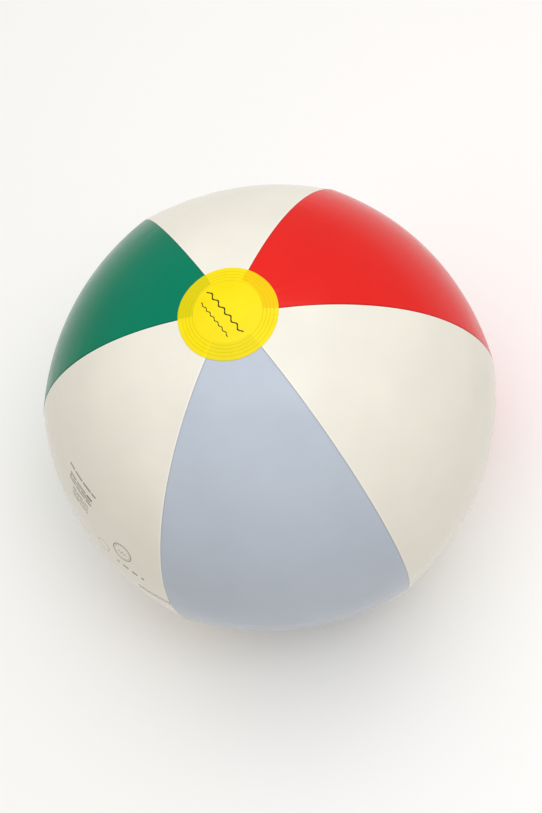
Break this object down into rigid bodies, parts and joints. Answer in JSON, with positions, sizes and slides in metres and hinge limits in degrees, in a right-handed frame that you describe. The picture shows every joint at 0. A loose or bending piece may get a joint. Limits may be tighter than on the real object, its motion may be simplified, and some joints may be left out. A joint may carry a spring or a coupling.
{
  "type": "inflatable beach ball",
  "caption": "Round inflatable beach ball of welded vinyl gores in alternating colours, with an end disc over each pole and a push-in inflation valve with a plug.",
  "frame": {"origin": "centre of the inflated ball", "axes": "+Z runs through the poles and out of the top end cap, +Y points out along the axis of the inflation valve, and +X points at a seam on the equator"},
  "size_m": [0.35, 0.3428, 0.344],
  "materials": {
    "cream_film": "glossy calendered vinyl film",
    "red_film": "glossy calendered vinyl film",
    "green_film": "glossy calendered vinyl film",
    "grey_blue_film": "glossy calendered vinyl film",
    "yellow_film": "glossy translucent vinyl film",
    "valve_vinyl": "satin, soft injection-moulded vinyl",
    "flap_vinyl": "clear soft vinyl"
  },
  "bodies": {
    "ball": {"panel_grey_blue": "grey_blue_film", "panel_cream_right": "cream_film", "panel_red": "red_film", "panel_cream_valve": "cream_film", "panel_green": "green_film", "panel_cream_left": "cream_film", "top_end_cap": "yellow_film", "bottom_end_cap": "yellow_film", "valve_flange": "valve_vinyl", "valve_skirt": "valve_vinyl"},
    "stem": {"valve_stem": "valve_vinyl"},
    "flap": {"check_flap": "flap_vinyl"},
    "plug": {"plug": "valve_vinyl", "plug_strap": "valve_vinyl"}
  },
  "joints": [
    {"name": "stem_pop_out", "type": "slide", "parent": "ball", "child": "stem", "axis": [0, 1, 0], "range_m": [0, 0.013], "deforming": ["valve_skirt"]},
    {"name": "plug_pull_out", "type": "slide", "parent": "stem", "child": "plug", "axis": [0, 1, 0], "range_m": [0, 0.008], "deforming": ["plug_strap"]},
    {"name": "flap_open", "type": "hinge", "parent": "stem", "child": "flap", "pos_m": [-0.0042, 0.15825, 0], "axis": [0, 0, -1], "range_deg": [0, 65], "stiffness_Nm_per_rad": 0.00002}
  ]
}
